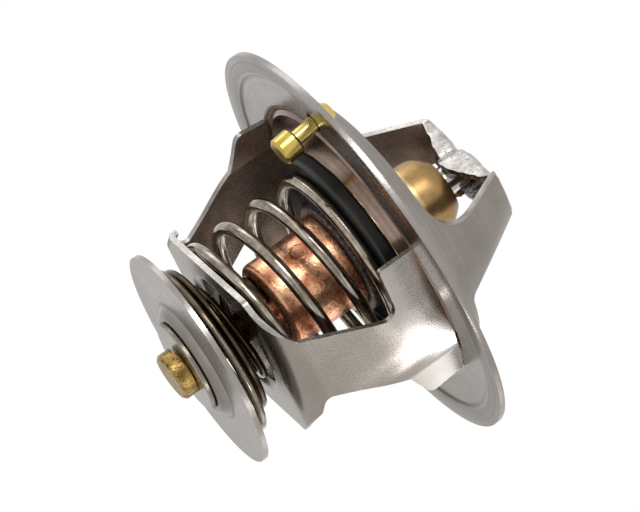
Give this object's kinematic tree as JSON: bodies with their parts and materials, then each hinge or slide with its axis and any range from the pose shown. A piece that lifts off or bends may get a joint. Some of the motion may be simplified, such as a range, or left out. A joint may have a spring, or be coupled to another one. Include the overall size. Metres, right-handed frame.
{
  "type": "engine thermostat",
  "caption": "Sprung engine thermostat insert: flanged seat with bridge, wax element, rubber-faced main valve, lower frame and bypass disc.",
  "frame": {"origin": "centre of the lower face of the flange's rim", "axes": "+Z runs along the valve's axis from the flange to the bridge, +X runs through one arm of the bridge and one leg of the lower frame"},
  "size_m": [0.067, 0.067, 0.0562],
  "materials": {
    "pressed_stainless": "satin pressed sheet with bright cut edges",
    "polished_steel": "ground and polished rod",
    "spring_steel": "bright drawn round wire",
    "turned_brass": "turned, with fine tool lines",
    "copper": "drawn copper, mottled and heat tinted",
    "sintered_steel": "dark speckled ring",
    "valve_rubber": "satin black moulded rubber",
    "element_rubber": "plain moulded rubber",
    "ptfe": "plain white disc",
    "wax": "wax filled with copper powder"
  },
  "bodies": {
    "housing_seat": {"flange_bridge": "pressed_stainless", "valve_seat_ring": "pressed_stainless", "lower_frame": "pressed_stainless", "piston": "polished_steel", "chafe_washer": "ptfe", "rubber_plug": "element_rubber", "main_spring": "spring_steel"},
    "valve": {"guide": "turned_brass", "wax_capsule": "copper", "diaphragm": "element_rubber", "wax_pellet": "wax", "main_valve_plate": "pressed_stainless", "valve_rubber_ring": "valve_rubber", "valve_collar": "sintered_steel", "retaining_clip": "spring_steel", "bypass_spring": "spring_steel", "bypass_pin": "turned_brass"},
    "bypass_valve": {"bypass_disc": "pressed_stainless", "bypass_washer": "pressed_stainless"},
    "jiggle": {"jiggle_pin": "turned_brass"}
  },
  "joints": [
    {"name": "valve_lift", "type": "slide", "parent": "housing_seat", "child": "valve", "axis": [0, 0, -1], "range_m": [0, 0.008], "stiffness_N_per_m": 4000, "springref_m": -0.012, "deforming": ["main_spring"]},
    {"name": "bypass_slide", "type": "slide", "parent": "valve", "child": "bypass_valve", "axis": [0, 0, 1], "range_m": [0, 0.0045], "stiffness_N_per_m": 1200, "springref_m": -0.006, "deforming": ["bypass_spring"]},
    {"name": "jiggle_slide", "type": "slide", "parent": "housing_seat", "child": "jiggle", "axis": [-0.0672, -0.0801, 0.9945], "range_m": [0, 0.003]}
  ]
}
